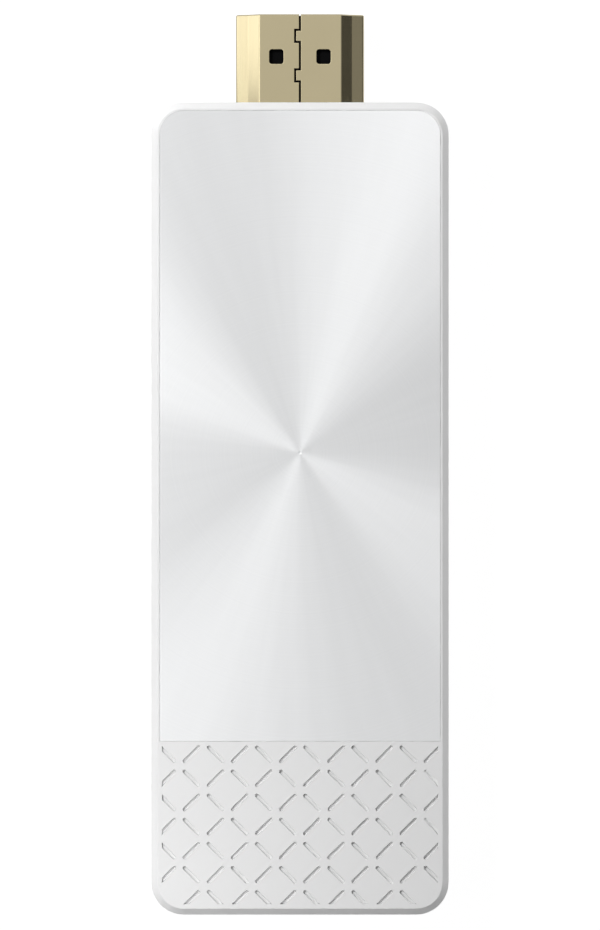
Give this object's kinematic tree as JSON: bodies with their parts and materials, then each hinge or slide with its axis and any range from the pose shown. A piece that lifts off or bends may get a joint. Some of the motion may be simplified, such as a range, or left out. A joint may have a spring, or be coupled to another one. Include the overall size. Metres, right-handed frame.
{
  "type": "wireless display dongle",
  "caption": "Flat white stick that plugs into a screen: spun metal face plate, band of crossed dashes, gold video plug, power inlet and side button.",
  "frame": {"origin": "middle of the object's length and width, on its underside", "axes": "+X to the mode button's side, +Y out of the video plug, +Z out of the decorated face"},
  "size_m": [0.032, 0.0974, 0.012],
  "materials": {
    "cover_plastic": "satin pearl white",
    "spun_metal": "concentric spun, lacquered pearl white",
    "adhesive_film": "clear film",
    "label_film": "matt silver-grey",
    "board_laminate": "green solder mask",
    "gold_plating": "pale gold plating, satin",
    "contact_gold": "gold plating, bright",
    "socket_plastic": "black moulded, matt",
    "steel_sheet": "bright tin plating",
    "screw_steel": "zinc plated",
    "button_plastic": "satin pearl white",
    "switch_plastic": "black moulded",
    "clear_plastic": "clear polished",
    "light_plastic": "milky",
    "chip_resin": "black moulded resin",
    "pad_rubber": "soft grey",
    "sink_aluminium": "black anodised",
    "inductor_ferrite": "grey moulded ferrite",
    "tantalum_resin": "yellow moulded resin",
    "capacitor_ceramic": "tan ceramic",
    "resistor_ceramic": "black glaze",
    "antenna_ceramic": "white ceramic"
  },
  "bodies": {
    "dongle": {"top_cover": "cover_plastic", "spun_plate": "spun_metal", "plate_adhesive": "adhesive_film", "bottom_cover": "cover_plastic", "rating_label": "label_film", "main_board": "board_laminate", "board_screws": "screw_steel", "plug_shell": "gold_plating", "plug_insulator": "socket_plastic", "plug_upper_contacts": "contact_gold", "plug_lower_contacts": "contact_gold", "inlet_shell": "steel_sheet", "inlet_insulator": "socket_plastic", "inlet_contacts": "contact_gold", "switch_base": "switch_plastic", "switch_cover": "steel_sheet", "switch_dome": "steel_sheet", "switch_terminals": "steel_sheet", "light_pipe": "clear_plastic", "status_light": "light_plastic", "processor": "chip_resin", "thermal_pad": "pad_rubber", "heat_sink": "sink_aluminium", "memory_chips": "chip_resin", "flash_chip": "chip_resin", "power_chip": "chip_resin", "power_inductors": "inductor_ferrite", "tantalum_capacitors": "tantalum_resin", "ceramic_capacitors": "capacitor_ceramic", "chip_resistors": "resistor_ceramic", "crystals": "steel_sheet", "signal_filters": "inductor_ferrite", "wireless_board": "board_laminate", "wireless_chip": "chip_resin", "wireless_shield": "steel_sheet", "antennas": "antenna_ceramic"},
    "button": {"mode_button": "button_plastic", "switch_plunger": "switch_plastic"}
  },
  "joints": [
    {"name": "mode_button_press", "type": "slide", "parent": "dongle", "child": "button", "axis": [-1, 0, 0], "range_m": [0, 0.0003], "stiffness_N_per_m": 2000, "deforming": ["switch_dome"]}
  ]
}
